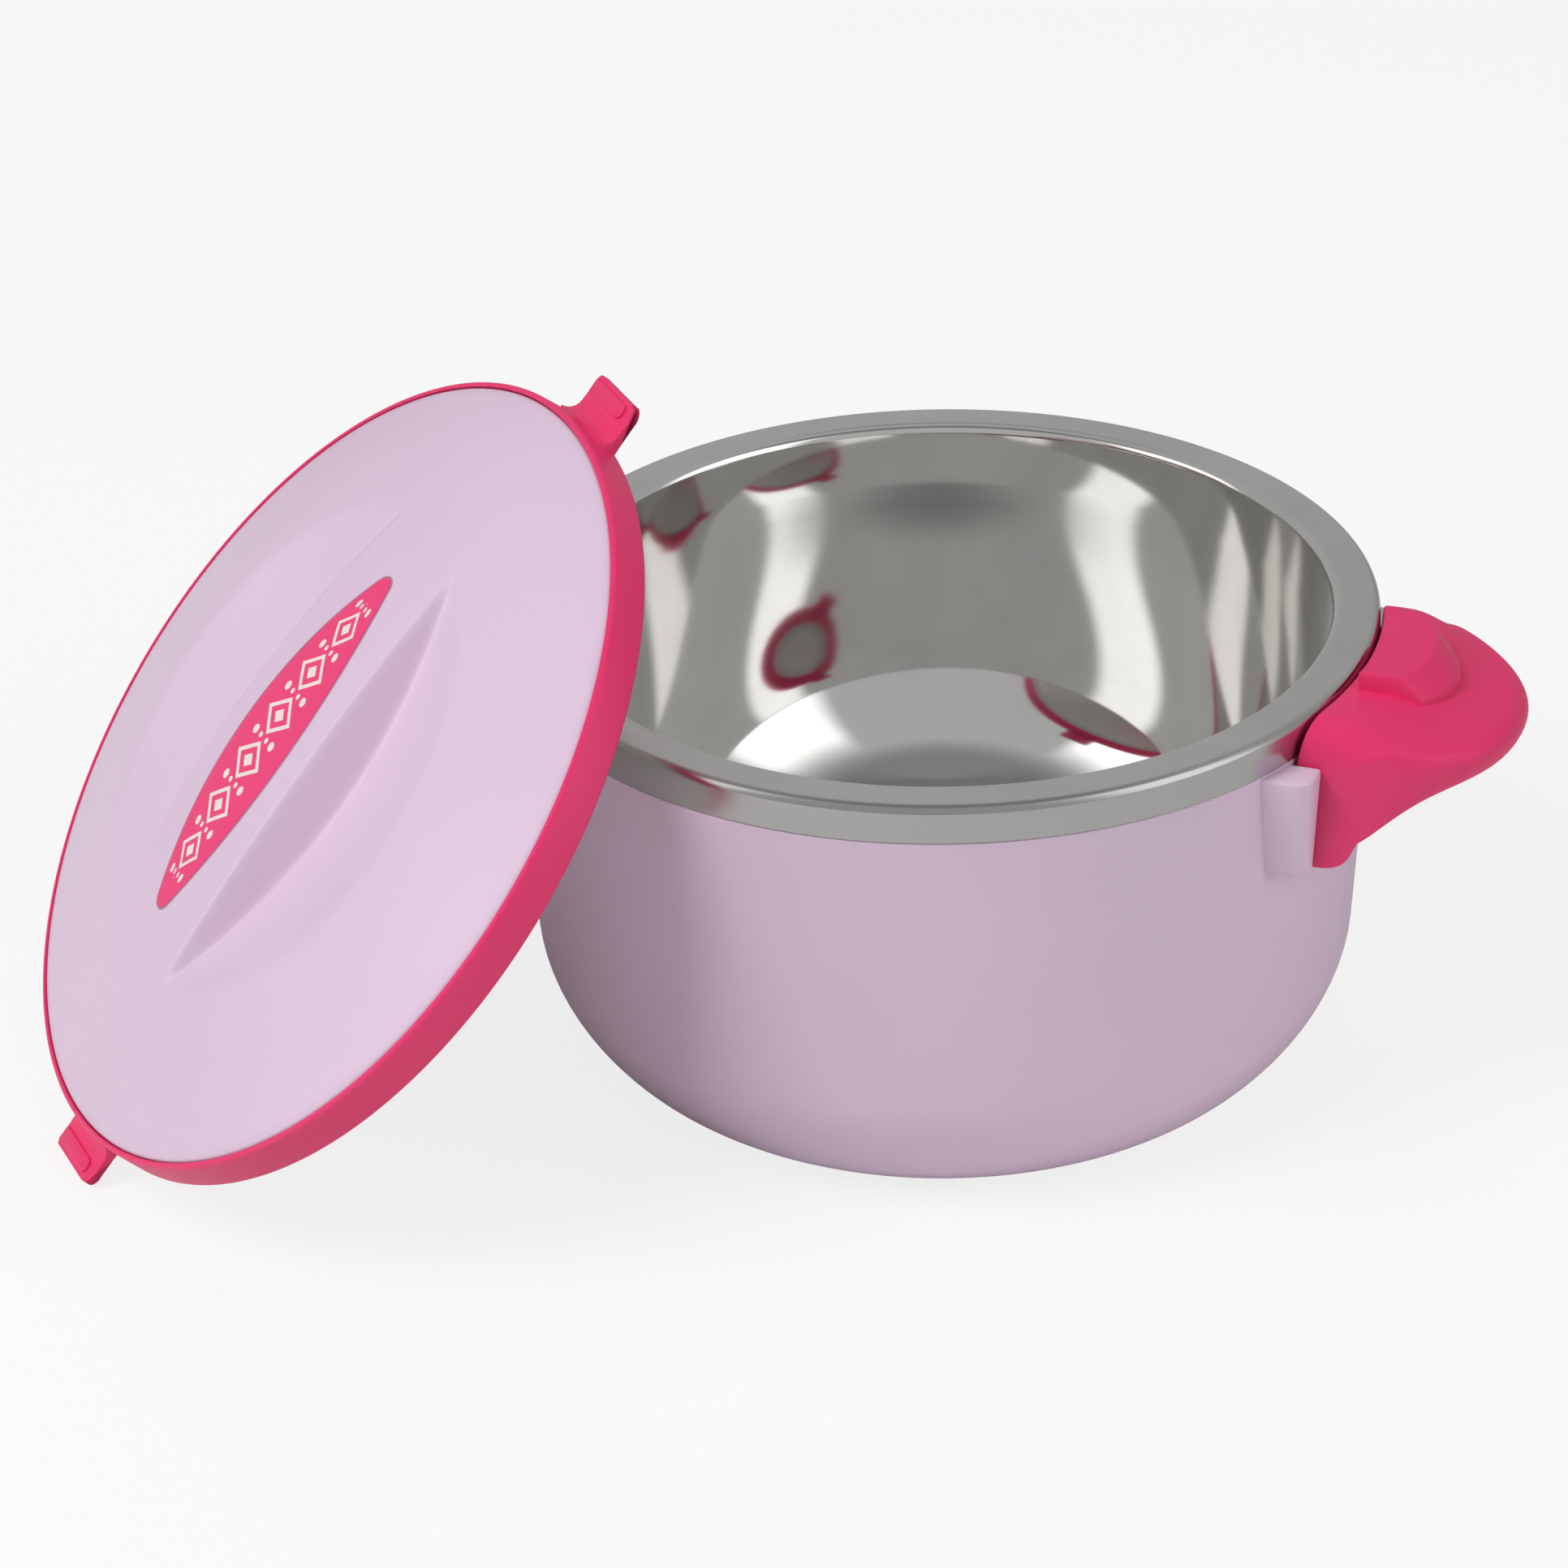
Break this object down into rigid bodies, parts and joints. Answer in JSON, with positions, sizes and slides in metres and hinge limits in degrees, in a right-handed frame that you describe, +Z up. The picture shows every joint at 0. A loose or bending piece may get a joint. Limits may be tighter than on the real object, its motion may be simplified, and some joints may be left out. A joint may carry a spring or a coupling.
{
  "type": "thermal serving bowl",
  "caption": "Insulated serving bowl with a steel liner, swing-out locking handles and a lift-off domed lid with a grip, shown with the lid leaning against it.",
  "frame": {"origin": "middle of the base, on the table", "axes": "+Z up along the bowl's axis; -Y towards the camera, +X to the right of the picture"},
  "size_m": [0.3942, 0.2602, 0.1921],
  "materials": {
    "steel": "mirror polished inside, satin on the rim",
    "shell_lavender": "gloss",
    "handle_pink": "soft gloss",
    "lid_pink": "soft gloss",
    "lid_lavender": "gloss",
    "inlay_print": "gloss with an off-white print",
    "liner_white": "satin",
    "foam": "porous",
    "seal_rubber": "matte"
  },
  "bodies": {
    "bowl": {"inner_bowl": "steel", "outer_shell": "shell_lavender", "body_insulation": "foam", "base_cover": "shell_lavender"},
    "right_handle": {"right_handle": "handle_pink"},
    "left_handle": {"left_handle": "handle_pink"},
    "lid": {"lid_ring": "lid_pink", "lid_cover": "lid_lavender", "lid_inlay": "inlay_print", "lid_liner": "liner_white", "lid_insulation": "foam", "lid_seal": "seal_rubber"}
  },
  "joints": [
    {"name": "right_handle_swing", "type": "hinge", "parent": "bowl", "child": "right_handle", "pos_m": [0.10299, -0.03954, 0.101], "axis": [0.3584, 0.9336, 0], "range_deg": [0, 13]},
    {"name": "left_handle_swing", "type": "hinge", "parent": "bowl", "child": "left_handle", "pos_m": [-0.10299, 0.03954, 0.101], "axis": [-0.3584, -0.9336, 0], "range_deg": [0, 13]},
    {"name": "lid_lift", "type": "slide", "parent": "bowl", "child": "lid", "axis": [0, 0, 1], "range_m": [0, 0.15]}
  ]
}
